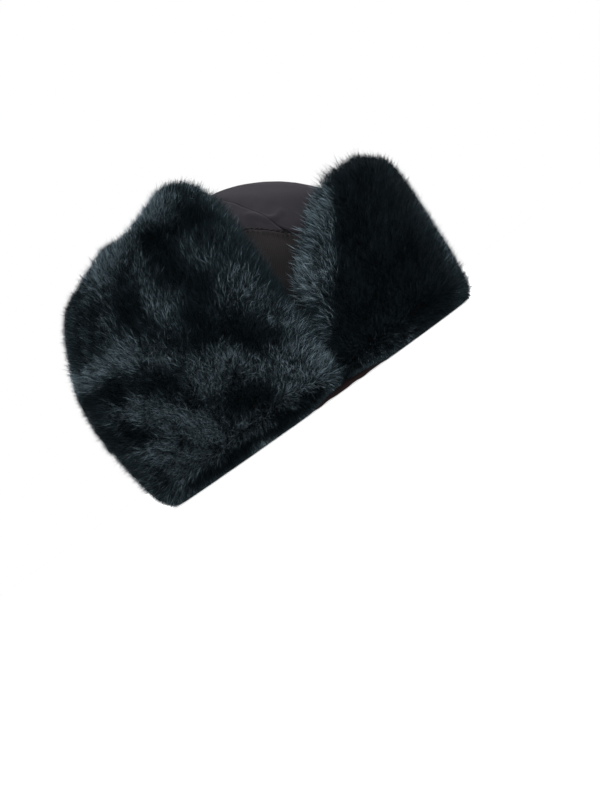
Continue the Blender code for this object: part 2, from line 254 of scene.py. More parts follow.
class Graph:
    """A node tree, and the ways to add to it."""

    def __init__(self, tree):
        self.tree = tree

    def feed(self, socket, value):
        """Link a value to a socket, or set the socket."""
        if isinstance(value, Value):
            self.tree.links.new(value.socket, socket)
        elif socket.type == "VECTOR" and isinstance(value, (int, float)):
            socket.default_value = (value, value, value)
        else:
            socket.default_value = value

    def node(self, kind, sockets=None, stops=None, **settings):
        """Add a node of a kind: its settings first, then the values or links of its sockets."""
        node = self.tree.nodes.new(kind)
        for name, setting in settings.items():
            setattr(node, name, setting)
        if stops:
            ramp = node.color_ramp
            while len(ramp.elements) < len(stops):
                ramp.elements.new(1.0)
            for element, (place, colour) in zip(ramp.elements, stops):
                element.position = place
                element.color = (*colour, 1.0)
        for name, value in (sockets or {}).items():
            self.feed(node.inputs[name], value)
        return node

    def value(self, kind, sockets=None, output=0, stops=None, **settings):
        """The output of a new node."""
        node = self.node(kind, sockets, stops, **settings)
        return Value(self, node.outputs[output])

    def maths(self, operation, *terms):
        """A sum of numbers, or of vectors if any term is one."""
        vectors = any(
            term.is_vector() if isinstance(term, Value) else isinstance(term, tuple)
            for term in terms
        )
        kind = "ShaderNodeVectorMath" if vectors else "ShaderNodeMath"
        node = self.node(kind, operation=operation)
        for socket, term in zip(node.inputs, terms):
            self.feed(socket, term)
        measured = operation in ("DOT_PRODUCT", "LENGTH", "DISTANCE")
        return Value(self, node.outputs[1 if vectors and measured else 0])

    def parts(self, vector):
        """The three parts of a vector."""
        node = self.node("ShaderNodeSeparateXYZ", {"Vector": vector})
        return [Value(self, output) for output in node.outputs]

    def mix_colours(self, share, low, high):
        """A colour at a share of the way from low to high."""
        node = self.node("ShaderNodeMix", data_type="RGBA")
        self.feed(node.inputs["Factor"], share)
        sockets = [socket for socket in node.inputs if socket.type == "RGBA"]
        for socket, colour in zip(sockets, (low, high)):
            self.feed(socket, colour if isinstance(colour, Value) else (*colour, 1.0))
        output = next(socket for socket in node.outputs if socket.type == "RGBA")
        return Value(self, output)


def new_finish(name, **constants):
    """A material and its graph, with the values that are the same all over set on its shader."""
    material = bpy.data.materials.new(name)
    material.use_nodes = True
    graph = Graph(material.node_tree)
    shader = material.node_tree.nodes["Principled BSDF"]
    for socket, value in constants.items():
        shader.inputs[socket.replace("_", " ")].default_value = value
    return material, graph, shader


def fur_finish():
    """Strands: near black at the root, as painted shade, and a painted cool grey highlight at lit tips.
    """
    material, graph, shader = new_finish(
        "fur", Specular_IOR_Level=0.25, Specular_Tint=(0.5, 0.85, 1.0, 1.0)
    )
    across, along, _ = graph.parts(graph.value("ShaderNodeUVMap", uv_map="OFBake"))
    # Colour by tone: near black up to a cool grey, the painted highlight of strands that catch the light.
    stops = [
        (0.0, (0.0018, 0.0026, 0.0036)),
        (0.3, (0.0075, 0.0120, 0.0155)),
        (0.6, (0.042, 0.063, 0.076)),
        (1.0, (0.220, 0.295, 0.335)),
    ]
    tone = graph.value("ShaderNodeValToRGB", {"Fac": across}, stops=stops)
    # Painted shade: each strand darkens towards its root, where the pile shades itself.
    root = graph.value("ShaderNodeMapRange", {"Value": along, "From Min": 0.1, "From Max": 0.6})
    colour = graph.mix_colours(root, (0.0022, 0.0028, 0.0036), tone)
    graph.feed(shader.inputs["Base Color"], colour)
    graph.feed(shader.inputs["Roughness"], 0.62 - across * 0.2)
    return material


def skin_finish():
    """The depth of the pile, between the strands: the fur's own near black, deepened as painted shade."""
    material, graph, shader = new_finish("fur_skin", Specular_IOR_Level=0.05)
    place = graph.value("ShaderNodeTexCoord", output="Object")
    grain = graph.value("ShaderNodeTexNoise", {"Vector": place, "Scale": 900.0, "Detail": 3.0})
    colour = graph.mix_colours(grain, (0.0010, 0.0013, 0.0017), (0.0060, 0.0078, 0.0092))
    graph.feed(shader.inputs["Base Color"], colour)
    graph.feed(shader.inputs["Roughness"], 0.8 + grain * 0.2)
    bump = graph.value("ShaderNodeBump", {"Height": grain, "Distance": 0.0008})
    graph.feed(shader.inputs["Normal"], bump)
    return material


def ribbed_finish(name, dark, light, pitch, relief, sheen, rib_across):
    """Woven cloth with fine ribs. rib_across gives the distances across and along the ribs."""
    material, graph, shader = new_finish(
        name,
        Specular_IOR_Level=0.2,
        Sheen_Weight=sheen,
        Sheen_Roughness=0.5,
        Sheen_Tint=(0.80, 0.74, 0.84, 1.0),
    )
    place = graph.value("ShaderNodeTexCoord", output="Object")
    across, along = rib_across(graph, place)
    rib = graph.maths("SINE", across * (2 * math.pi / pitch)) * 0.5 + 0.5
    thread = graph.maths("SINE", along * (2 * math.pi / (pitch * 0.8)) + rib * 2.2) * 0.5 + 0.5
    cloud = graph.value("ShaderNodeTexNoise", {"Vector": place, "Scale": 38.0, "Detail": 4.0})
    fuzz = graph.value("ShaderNodeTexNoise", {"Vector": place, "Scale": 1500.0, "Detail": 2.0})
    weave = (rib * 0.7 + thread * 0.3) * relief + fuzz * (1.0 - relief)
    colour = graph.mix_colours(weave * 0.75 + cloud * 0.35, dark, light)
    graph.feed(shader.inputs["Base Color"], colour)
    graph.feed(shader.inputs["Roughness"], 0.78 + fuzz * 0.2)
    bump = graph.value("ShaderNodeBump", {"Height": weave, "Distance": 0.00030, "Strength": 0.6})
    graph.feed(shader.inputs["Normal"], bump)
    return material


def round_the_band(graph, place):
    """Distances across and along the grain of the side band, which is cut on the bias."""
    x, y, z = graph.parts(place)
    angle = graph.maths("ARCTAN2", x * (HALF_LENGTH / HALF_WIDTH), y)
    round_it = angle * HALF_LENGTH
    across = round_it * math.cos(HAT_TILT) + z * math.sin(HAT_TILT)
    along = z * math.cos(HAT_TILT) - round_it * math.sin(HAT_TILT)
    return across, along


def along_the_gore(graph, place):
    """Distances across and along the grain of the gore that a place is on."""
    x, y, _ = graph.parts(place)
    x = x - CROWN_MIDDLE.x
    y = y - CROWN_MIDDLE.y
    angle = graph.maths("ARCTAN2", x * (HALF_LENGTH / HALF_WIDTH), y)
    step = 2 * math.pi / GORES
    middle = graph.maths("FLOOR", angle / step) * step + step / 2
    across = x * graph.maths("COSINE", middle) - y * graph.maths("SINE", middle)
    along = x * graph.maths("SINE", middle) + y * graph.maths("COSINE", middle)
    return across, along


def over_the_flap(graph, place):
    """Distances along and up a flap's cloth."""
    x, y, z = graph.parts(place)
    return x - y, z


def thread_finish():
    """Sewing thread, darker than the cloth: dark thread, with painted shade of the stitch holes."""
    material, graph, shader = new_finish("thread", Specular_IOR_Level=0.2, Roughness=0.6)
    place = graph.value("ShaderNodeTexCoord", output="Object")
    twist = graph.value("ShaderNodeTexNoise", {"Vector": place, "Scale": 1800.0, "Detail": 1.0})
    colour = graph.mix_colours(twist, (0.0020, 0.0018, 0.0020), (0.0060, 0.0050, 0.0060))
    graph.feed(shader.inputs["Base Color"], colour)
    return material


def eased(low, high, values):
    """0 at low, 1 at high, and smooth between, for an array."""
    share = np.clip((values - low) / (high - low), 0.0, 1.0)
    return share * share * (3.0 - 2.0 * share)


def unit(vectors):
    """The vectors at a length of one."""
    return vectors / np.maximum(np.linalg.norm(vectors, axis=1, keepdims=True), 1e-12)


def tangent_to(normals, vectors):
    """The part of each vector that lies in the surface."""
    return vectors - np.sum(vectors * normals, axis=1, keepdims=True) * normals


def read_points(data):
    """A mesh's vertices as an array."""
    points = np.empty(len(data.vertices) * 3)
    data.vertices.foreach_get("co", points)
    return points.reshape(-1, 3)


def read_normals(data):
    """A mesh's vertex normals as an array."""
    normals = np.empty(len(data.vertices) * 3)
    data.vertex_normals.foreach_get("vector", normals)
    return normals.reshape(-1, 3)


def write_points(data, points):
    """Move a mesh's vertices."""
    data.vertices.foreach_set("co", points.ravel())
    data.update()


def add_piece(name, data):
    """Put a mesh in the scene as a piece."""
    piece = bpy.data.objects.new(name, data)
    bpy.context.scene.collection.objects.link(piece)
    return piece


def finish_piece(piece, material, slot, *nodes):
    """Give a piece its material and its place on the hat, and hide the CAD nodes that it replaces."""
    piece.data.materials.clear()
    piece.data.materials.append(material)
    piece.data.shade_smooth()
    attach(piece, "root")
    if nodes:
        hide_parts(*nodes)


def settle(piece):
    """Turn a piece with its modifiers into a plain mesh."""
    bpy.context.view_layer.update()
    seen = piece.evaluated_get(bpy.context.evaluated_depsgraph_get())
    data = bpy.data.meshes.new_from_object(seen)
    piece.modifiers.clear()
    old = piece.data
    piece.data = data
    bpy.data.meshes.remove(old)
    return piece


def cad_copy(node, name, levels, creased):
    """A welded and subdivided copy of a CAD node, with its sharp edges kept if creased."""
    mesh = bmesh.new()
    mesh.from_mesh(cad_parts[node].data)
    bmesh.ops.remove_doubles(mesh, verts=mesh.verts, dist=WELD)
    bmesh.ops.join_triangles(
        mesh,
        faces=mesh.faces,
        angle_face_threshold=JOIN_ANGLE,
        angle_shape_threshold=JOIN_ANGLE,
    )
    bmesh.ops.recalc_face_normals(mesh, faces=mesh.faces)
    if creased:
        crease = mesh.edges.layers.float.new("crease_edge")
        for edge in mesh.edges:
            if edge.calc_face_angle(0.0) > CREASE_ANGLE:
                edge[crease] = 1.0
    data = bpy.data.meshes.new(name)
    mesh.to_mesh(data)
    mesh.free()
    if "custom_normal" in data.attributes:
        data.attributes.remove(data.attributes["custom_normal"])
    piece = add_piece(name, data)
    smoother = piece.modifiers.new("smooth", "SUBSURF")
    smoother.levels = levels
    smoother.render_levels = levels
    return settle(piece)


def crown_angles(points):
    """Plan angles from the front to the wearer's right, as the crown's seams are set out."""
    x = (points[:, 0] - CROWN_MIDDLE.x) / HALF_WIDTH
    y = (points[:, 1] - CROWN_MIDDLE.y) / HALF_LENGTH
    return np.arctan2(-x, -y)


def seam_heights(angles):
    """Height of the seam between the side band and the gores."""
    dip = eased(SEAM_DIP_START, SEAM_DIP_END, np.cos(angles))
    return SEAM_SIDE_HEIGHT + (SEAM_FRONT_HEIGHT - SEAM_SIDE_HEIGHT) * dip


def seam_marks(points):
    """How far the cloth of the crown sinks at its seams and gathers beside them."""
    angles = crown_angles(points)
    above = points[:, 2] - seam_heights(angles)
    step = 2 * math.pi / GORES
    off = np.abs((angles + step / 2) % step - step / 2)
    round_it = off * np.linalg.norm(points[:, :2], axis=1)
    on_gore = eased(-0.004, 0.002, above)
    sunk = np.exp(-((above / SEAM_REACH) ** 2))
    sunk = np.maximum(sunk, 0.2 * np.exp(-((round_it / SEAM_REACH) ** 2)) * on_gore)
    gathers = np.sin(angles * PUCKERS + 2.0 * np.sin(angles * 7.0))
    near = np.exp(-np.abs(above) / PUCKER_REACH)
    along = np.sin(points[:, 2] * 900.0 + angles * 11.0)
    beside = np.exp(-np.abs(round_it) / PUCKER_REACH) * on_gore
    return -SEAM_DEPTH * sunk + PUCKER_DEPTH * (gathers * near + 0.35 * along * beside)


def drawn_together(points):
    """The crown's points, with the small gaps that the CAD leaves at the seams drawn together."""
    angles = crown_angles(points)
    above = points[:, 2] - seam_heights(angles)
    step = 2 * math.pi / GORES
    past = (angles + step / 2) % step - step / 2
    round_it = past * np.linalg.norm(points[:, :2], axis=1)
    onward = unit(np.stack([-HALF_WIDTH * np.cos(angles), HALF_LENGTH * np.sin(angles)], axis=1))
    pull = SEAM_CLOSE * np.exp(-((round_it / SEAM_CLOSE_REACH) ** 2)) * (above > -WELD)
    closed = points.copy()
    closed[:, :2] -= onward * (np.sign(past) * pull)[:, None]
    closed[:, 2] -= SEAM_CLOSE * np.sign(above) * np.exp(-((above / SEAM_CLOSE_REACH) ** 2))
    return closed


def soft_waves(points, waves):
    """Shallow, irregular waves over a surface."""
    x, y, z = (points / waves.size).T
    height = np.sin(1.7 * x + 2.3 * z + 1.1) + np.sin(2.9 * y - 1.3 * z + 0.4)
    height += np.sin(3.1 * z + 1.9 * x - 2.2 * y)
    return waves.depth * height / 3.0


def side_places(points):
    """Places of points in the side view: forward of the hat's middle, and height."""
    return np.stack([CROWN_MIDDLE.y - points[:, 1], points[:, 2]], axis=1)


def nearness(places, mark):
    """How near places are to a fold or a patch: 1 on its line, and less with its reach."""
    start = np.array([mark.forward, mark.height])
    run = np.array([mark.to_forward, mark.to_height]) - start
    share = np.clip(((places - start) @ run) / (run @ run), 0.0, 1.0)
    off = np.linalg.norm(places - start - share[:, None] * run, axis=1)
    return np.exp(-((off / mark.reach) ** 2))


def fold_marks(points):
    """How far the folds move the cloth of the crown, on the wearer's right side."""
    places = side_places(points)
    moved = np.zeros(len(points))
    for fold in FOLDS:
        moved += fold.depth * nearness(places, fold)
    return moved * (points[:, 0] < 0.0)


def off_the_floor(points):
    """Points of a cloth piece, with its lower edge a little above the floor."""
    low = eased(RIM_REACH, 0.0, points[:, 2])
    return points + (low * RIM_CLEARANCE)[:, None] * [0.0, 0.0, 1.0]


def make_crown(cloth, band_cloth):
    """The gores and the side band of the crown, sunk and gathered at their seams."""
    names = [f"crown_gore_{i + 1}" for i in range(GORES)]
    for node in names + ["crown_band"]:
        piece = cad_copy(node, node.replace("crown", "cloth"), levels=3, creased=True)
        points = read_points(piece.data)
        moved = seam_marks(points) + fold_marks(points) + soft_waves(points, CROWN_WAVES)
        rise = eased(0.02, 0.06, points[:, 2])
        outward = unit((points - np.array([0.0, 0.0, SHOULDER_HEIGHT])) * [1.0, 1.0, 0.9])
        closed = drawn_together(points) + outward * (moved * rise)[:, None]
        write_points(piece.data, off_the_floor(closed))
        finish_piece(piece, band_cloth if node == "crown_band" else cloth, "crown_cloth", node)


def make_flap_cloth(node, cloth):
    """The cloth side of a flap, with shallow waves."""
    piece = cad_copy(node, node.replace("_cloth", "_lining"), levels=2, creased=True)
    points = read_points(piece.data)
    inward = -unit(points * [1.0, 1.0, 0.0])
    depth = soft_waves(points, FLAP_WAVES)
    write_points(piece.data, off_the_floor(points + inward * depth[:, None]))
    finish_piece(piece, cloth, "crown_cloth", node)


def make_sweatband(cloth):
    """The band inside the rim, with a rolled lower edge."""
    piece = cad_copy("sweatband", "sweatband_cloth", levels=2, creased=True)
    points = read_points(piece.data)
    waves = soft_waves(points, SWEATBAND_WAVES)
    outward = unit(points * [1.0, 1.0, 0.0])
    write_points(piece.data, off_the_floor(points - outward * np.abs(waves)[:, None]))
    finish_piece(piece, cloth, "lining_cloth", "sweatband")


def make_binding(cloth):
    """The lining, rolled out round the rim. It shows beside each ear, where the fur is lifted."""
    around, across = 240, 12
    rows = []
    for i in range(around):
        angle = 2 * math.pi * i / around
        uneven = 1.0 + 0.10 * math.sin(37 * angle) + 0.06 * math.sin(61 * angle + 1.0)
        radius = BINDING_RADIUS * uneven
        for j in range(across):
            turn = 2 * math.pi * j / across
            out = radius * math.cos(turn)
            x = CROWN_MIDDLE.x - (HALF_WIDTH + out) * math.sin(angle)
            y = CROWN_MIDDLE.y - (HALF_LENGTH + out) * math.cos(angle)
            rows.append((x, y, GROUND + BINDING_RADIUS * 1.2 + radius * math.sin(turn)))
    faces = []
    for i in range(around):
        here, after = i * across, (i + 1) % around * across
        for j in range(across):
            k = (j + 1) % across
            faces.append((here + j, here + k, after + k, after + j))
    data = bpy.data.meshes.new("rim_binding")
    data.from_pydata(rows, [], faces)
    finish_piece(add_piece("rim_binding", data), cloth, "lining_cloth")


def make_crown_lining(cloth):
    """The lining inside the crown's top. It closes the corners where the seams meet."""
    around, rings = 96, 24
    low = SEAM_FRONT_HEIGHT - CROWN_LINING_DROP
    top = APEX_HEIGHT - CROWN_LINING_DEPTH
    rows = []
    for i in range(rings):
        height = low + (top - low) * math.sin(0.5 * math.pi * i / rings)
        share = max((height - SHOULDER_HEIGHT) / (top - SHOULDER_HEIGHT), 0.0)
        narrowing = math.sqrt(1.0 - share * share)
        for j in range(around):
            angle = 2 * math.pi * j / around
            x = CROWN_MIDDLE.x - (HALF_WIDTH - CROWN_LINING_DEPTH) * narrowing * math.sin(angle)
            y = CROWN_MIDDLE.y - (HALF_LENGTH - CROWN_LINING_DEPTH) * narrowing * math.cos(angle)
            rows.append((x, y, height))
    rows.append((CROWN_MIDDLE.x, CROWN_MIDDLE.y, top))
    faces = []
    for i in range(rings - 1):
        here, above = i * around, (i + 1) * around
        for j in range(around):
            k = (j + 1) % around
            faces.append((here + j, above + j, above + k, here + k))
    last, apex = (rings - 1) * around, rings * around
    for j in range(around):
        faces.append((last + j, apex, last + (j + 1) % around))
    data = bpy.data.meshes.new("crown_lining")
    data.from_pydata(rows, [], faces)
    piece = add_piece("crown_lining", data)
    wall = piece.modifiers.new("wall", "SOLIDIFY")
    wall.thickness = CROWN_LINING_WALL
    wall.offset = -1.0
    finish_piece(settle(piece), cloth, "crown_cloth")


def make_tie(cloth):
    """The tape over the crown."""
    piece = cad_copy("top_tie", "tie_tape", levels=2, creased=True)
    points = read_points(piece.data)
    points[:, 2] += 0.0003 * np.sin(points[:, 0] * 300.0 + points[:, 1] * 200.0)
    write_points(piece.data, points)
    finish_piece(piece, cloth, "crown_cloth", "top_tie")


def geometry_tree(name, inputs):
    """A Geometry Nodes tree with named inputs, its graph and the values of those inputs."""
    tree = bpy.data.node_groups.new(name, "GeometryNodeTree")
    face = tree.interface
    face.new_socket("Geometry", in_out="INPUT", socket_type="NodeSocketGeometry")
    face.new_socket("Geometry", in_out="OUTPUT", socket_type="NodeSocketGeometry")
    for title, kind in inputs.items():
        face.new_socket(title, in_out="INPUT", socket_type=f"NodeSocket{kind}")
    graph = Graph(tree)
    given = graph.node("NodeGroupInput")
    values = {title: Value(graph, given.outputs[title]) for title in ["Geometry", *inputs]}
    return tree, graph, values


def end_tree(graph, geometry, material):
    """Realize what a tree has made and give it its material."""
    real = graph.value("GeometryNodeRealizeInstances", {"Geometry": geometry})
    dressed = graph.value("GeometryNodeSetMaterial", {"Geometry": real, "Material": material})
    smooth = graph.value("GeometryNodeSetShadeSmooth", {"Geometry": dressed})
    graph.node("NodeGroupOutput", {"Geometry": smooth})


def grow(piece, tree, inputs):
    """Run a Geometry Nodes tree on a piece and keep what it makes as the piece's plain mesh."""
    modifier = piece.modifiers.new(tree.name, "NODES")
    modifier.node_group = tree
    sockets = {item.name: item.identifier for item in tree.interface.items_tree if item.in_out == "INPUT"}
    for title, value in inputs.items():
        modifier[sockets[title]] = value
    return settle(piece)


def stitch_tree():
    """Stitches along an edge path."""
    inputs = {"Pitch": "Float", "Length": "Float", "Width": "Float", "Thread": "Material"}
    tree, graph, given = geometry_tree("stitches", inputs)
    path = graph.value("GeometryNodeMeshToCurve", {"Mesh": given["Geometry"]})
    even = graph.value(
        "GeometryNodeResampleCurve", {"Curve": path, "Length": given["Pitch"]}, mode="LENGTH"
    )
    tangent = graph.value("GeometryNodeInputTangent")
    turned = graph.value("FunctionNodeAlignRotationToVector", {"Vector": tangent}, axis="X")
    bead = graph.value("GeometryNodeMeshIcoSphere", {"Radius": 0.5, "Subdivisions": 2})
    size = graph.value(
        "ShaderNodeCombineXYZ", {"X": given["Length"], "Y": given["Width"], "Z": given["Width"]}
    )
    sewn = graph.value(
        "GeometryNodeInstanceOnPoints",
        {"Points": even, "Instance": bead, "Rotation": turned, "Scale": size},
    )
    end_tree(graph, sewn, given["Thread"])
    return tree


def crown_surface(angle, height):
    """A point just outside the crown's cloth."""
    share = min(max((height - SHOULDER_HEIGHT) / (APEX_HEIGHT - SHOULDER_HEIGHT), 0.0), 1.0)
    narrowing = math.sqrt(1.0 - share * share)
    x = CROWN_MIDDLE.x - (HALF_WIDTH * narrowing + STITCH_RISE) * math.sin(angle)
    y = CROWN_MIDDLE.y - (HALF_LENGTH * narrowing + STITCH_RISE) * math.cos(angle)
    return (x, y, height)


def seam_row():
    """A closed path round the crown, a little below the seam of the side band."""
    steps = 360
    angles = [2 * math.pi * i / steps for i in range(steps + 1)]
    heights = seam_heights(np.array(angles)) - STITCH_ROW
    return [crown_surface(angle, height) for angle, height in zip(angles, heights)]


def sweatband_row():
    """A closed path round the inside of the sweatband."""
    low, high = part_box("sweatband")
    half = (high - low) / 2
    middle = (high + low) / 2
    steps = 240
    path = []
    for i in range(steps + 1):
        angle = 2 * math.pi * i / steps
        x = middle.x + (half.x - SWEATBAND_ROW_INSET) * math.cos(angle)
        y = middle.y + (half.y - SWEATBAND_ROW_INSET) * math.sin(angle)
        path.append((x, y, SWEATBAND_ROW_HEIGHT))
    return path


def make_stitches(thread):
    """Rows of stitches beside the crown's seam and along the sweatband."""
    tree = stitch_tree()
    inputs = {
        "Pitch": STITCH_PITCH,
        "Length": STITCH_LENGTH,
        "Width": STITCH_WIDTH,
        "Thread": thread,
    }
    rows = {"stitches_seam": seam_row(), "stitches_sweatband": sweatband_row()}
    for name, row in rows.items():
        data = bpy.data.meshes.new(name)
        data.from_pydata(row, [(i, i + 1) for i in range(len(row) - 1)], [])
        piece = grow(add_piece(name, data), tree, inputs)
        finish_piece(piece, thread, "crown_cloth")


def spread_normals(data, normals):
    """Normals averaged over their surroundings: near a free edge they point out past the edge."""
    edges = np.empty(len(data.edges) * 2, dtype=np.int64)
    data.edges.foreach_get("vertices", edges)
    first, second = edges.reshape(-1, 2).T
    count = np.bincount(first, minlength=len(normals)) + np.bincount(second, minlength=len(normals))
    spread = normals.copy()
    for _ in range(NORMAL_SPREAD):
        total = np.zeros_like(spread)
        np.add.at(total, first, spread[second])
        np.add.at(total, second, spread[first])
        spread = 0.4 * spread + 0.6 * total / count[:, None]
    return unit(spread)


def write_attribute(data, name, values):
    """Store one number or one vector for each vertex."""
    vector = values.ndim == 2
    kind = "FLOAT_VECTOR" if vector else "FLOAT"
    attribute = data.attributes.new(name, kind, "POINT")
    attribute.data.foreach_set("vector" if vector else "value", values.ravel())


def make_skin(node, name, material):
    """The ground that the pile grows from: the fur's outer form, drawn in by the pile's depth."""
    piece = cad_copy(node, name, levels=2, creased=False)
    data = piece.data
    points = read_points(data)
    normals = read_normals(data)
    spread = spread_normals(data, normals)
    middle = np.minimum(points, SHOULDER_HEIGHT) * [0.0, 0.0, 1.0]
    outward = unit(points - middle)
    facing = np.sum(normals * outward, axis=1)
    low = eased(0.030, 0.010, points[:, 2:])
    under = eased(0.012, 0.0, points[:, 2:]) * [0.0, 0.0, 1.0]
    spread = unit(spread * (1.0 - low) + unit(outward - under) * low)
    inner = eased(0.15, -0.45, facing)[:, None]
    flat = tangent_to(normals, spread)
    moved = points - PILE_INSET * (spread * (1.0 - inner) + flat * inner)
    moved[:, 2] = np.maximum(moved[:, 2], GROUND + RIM_CLEARANCE)
    write_points(data, moved)
    write_attribute(data, "facing", facing)
    write_attribute(data, "past_edge", flat)
    finish_piece(piece, material, "fur", node)
    return piece


def read_attribute(data, name, width):
    """A stored attribute as an array."""
    values = np.empty(len(data.vertices) * width)
    data.attributes[name].data.foreach_get("vector" if width == 3 else "value", values)
    return values.reshape(-1, width) if width == 3 else values


def nap_of(data, points, normals, forward, upward):
    """The way that the pile lies, as long as its lean, and how near the free edges are.

    It lies forward and up, but out past a free edge, and down at the rim. It stands where it parts.
    """
    level = unit(points * [1.0, 1.0, 0.0])
    ahead = np.cross([0.0, 0.0, 1.0], level)
    side = np.clip(-points[:, 0] / 0.03, -1.0, 1.0)[:, None]
    rim = eased(RIM_PILE_HEIGHT, 0.004, points[:, 2:])
    high = eased(0.105, 0.140, points[:, 2:])
    upward = upward * (1.0 - 0.8 * high)
    rise = upward - rim * (upward + 1.0)
    base = ahead * side * forward * (1.0 - rim) - level * 0.5 * rim + rise * [0.0, 0.0, 1.0]
    base = unit(tangent_to(normals, base))
    edge = read_attribute(data, "past_edge", 3)
    share = eased(0.25, 0.85, np.linalg.norm(edge, axis=1, keepdims=True))
    share = share * (1.0 - rim) * (1.0 - 0.3 * high)
    nap = unit(tangent_to(normals, base * (1.0 - share) + edge * share * 1.4))
    parting = 1.0 - 3.2 * rim * (1.0 - rim)
    return nap * parting, share[:, 0]


def paint_light_patches(points, tones, patches):
    """Paint patches of painted highlight and painted shade over the tones of a skin's points."""
    places = side_places(points) + soft_waves(points, PATCH_WAVES)[:, None]
    for patch in patches:
        tones = tones + (patch.tone - tones) * nearness(places, patch)
    return tones


def flap_painted_light(points):
    """Painted light of the ear and neck flap: its right side's patches, mirrored and moved on its left.
    """
    plain = np.full(len(points), FLAP_PAINTED_HIGHLIGHT)
    right = paint_light_patches(points, plain, RIGHT_FLAP_LIGHT_PATCHES)
    left = paint_light_patches(points + np.array(LEFT_PATCH_SHIFT), plain, RIGHT_FLAP_LIGHT_PATCHES)
    side = eased(-0.03, 0.03, points[:, 0])
    return right * (1.0 - side) + left * side


def visor_painted_light(points):
    """Painted light of the visor: shade in front, and a highlight along its ends and its free edge."""
    forward = CROWN_MIDDLE.y - points[:, 1]
    behind = forward - VISOR_CORNER - VISOR_CORNER_SLOPE * points[:, 2]
    tones = VISOR_FACE_PAINTED_HIGHLIGHT + VISOR_END_PAINTED_HIGHLIGHT * eased(0.004, -0.004, behind)
    return paint_light_patches(points, tones, VISOR_LIGHT_PATCHES)


